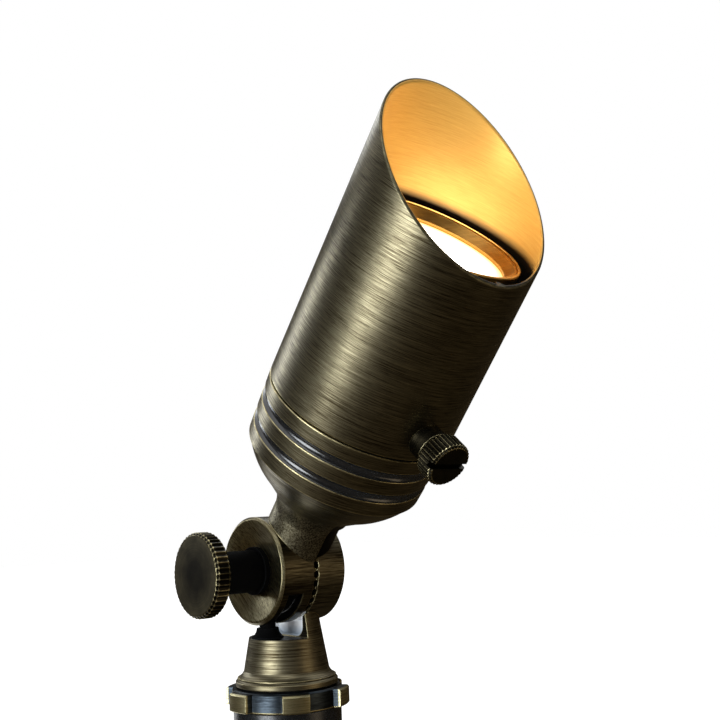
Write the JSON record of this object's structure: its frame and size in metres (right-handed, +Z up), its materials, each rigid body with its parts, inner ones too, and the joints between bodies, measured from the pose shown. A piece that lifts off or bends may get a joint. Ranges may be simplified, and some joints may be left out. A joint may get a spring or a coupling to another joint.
{
  "type": "landscape spotlight",
  "caption": "Low-voltage garden spotlight on a ground stake, with a toothed tilt knuckle, clamp knob, swivel base and a turning shroud with a slanted rim.",
  "frame": {"origin": "on the stake's axis at the ground line, where the hub meets the spike", "axes": "+Z up along the stake, +X along the tilt axle away from the knob, head leaning towards -Y"},
  "size_m": [0.0666, 0.1272, 0.4352],
  "materials": {
    "stake_plastic": "moulded",
    "black_rubber": "moulded",
    "worn_brass": "brushed, worn edges",
    "cast_bronze": "antique, brushed",
    "brushed_bronze": "antique, brushed round",
    "knob_bronze": "dark antique, turned",
    "lead_jacket": "extruded",
    "lamp_aluminium": "cast",
    "socket_ceramic": "unglazed",
    "lamp_light": "moulded optic",
    "lens_glass": "clear"
  },
  "bodies": {
    "stake": {"ground_stake": "stake_plastic", "cable_grommet": "black_rubber"},
    "lock_ring": {"lock_ring": "worn_brass"},
    "swivel_base": {"knuckle_base": "cast_bronze", "flange_gasket": "black_rubber", "lead_bushing": "black_rubber", "supply_lead": "lead_jacket", "knuckle_nut": "worn_brass"},
    "clamp_washer": {"knob_washer": "black_rubber"},
    "tilt_knob": {"tilt_knob": "knob_bronze"},
    "head": {"knuckle_head": "cast_bronze", "head_lead": "lead_jacket", "stem_oring": "black_rubber", "stem_nut": "worn_brass", "lamp_base": "cast_bronze", "shroud_oring": "black_rubber", "cup_gasket": "black_rubber", "inner_cup": "brushed_bronze", "socket_plate": "lamp_aluminium", "socket_screws": "worn_brass", "lamp_socket": "socket_ceramic", "lamp_wires": "lead_jacket", "lamp_body": "lamp_aluminium", "lamp_face": "lamp_light", "lamp_pins": "worn_brass", "lens_gasket": "black_rubber", "lens": "lens_glass", "lens_ring": "brushed_bronze"},
    "shroud": {"shroud": "brushed_bronze", "screw_boss": "worn_brass"},
    "shroud_screw": {"shroud_screw": "worn_brass"}
  },
  "joints": [
    {"name": "swivel", "type": "hinge", "parent": "stake", "child": "swivel_base", "pos_m": [0, 0, 0.0489], "axis": [0, 0, 1], "range_deg": [-180, 180]},
    {"name": "lock_ring_turn", "type": "hinge", "parent": "stake", "child": "lock_ring", "pos_m": [0, 0, 0.0453], "axis": [0, 0, 1], "range_deg": [0, 60]},
    {"name": "head_tilt", "type": "hinge", "parent": "swivel_base", "child": "head", "pos_m": [0, 0, 0.0873], "axis": [1, 0, 0], "range_deg": [-130, 50]},
    {"name": "knob_travel", "type": "slide", "parent": "swivel_base", "child": "clamp_washer", "axis": [-1, 0, 0], "range_m": [0, 0.00125]},
    {"name": "knob_turn", "type": "hinge", "parent": "clamp_washer", "child": "tilt_knob", "pos_m": [-0.036, 0, 0.0873], "axis": [-1, 0, 0], "range_deg": [0, 360]},
    {"name": "shroud_turn", "type": "hinge", "parent": "head", "child": "shroud", "pos_m": [0, 0, 0.0873], "axis": [0, -0.6428, 0.766], "continuous": true},
    {"name": "thumbscrew_turn", "type": "hinge", "parent": "shroud", "child": "shroud_screw", "pos_m": [0, -0.04946, 0.14625], "axis": [0, -0.766, -0.6428], "range_deg": [0, 360]}
  ],
  "couplings": [
    {"joint": "knob_turn", "follows": "knob_travel", "rad_per_m": 5026.5}
  ]
}
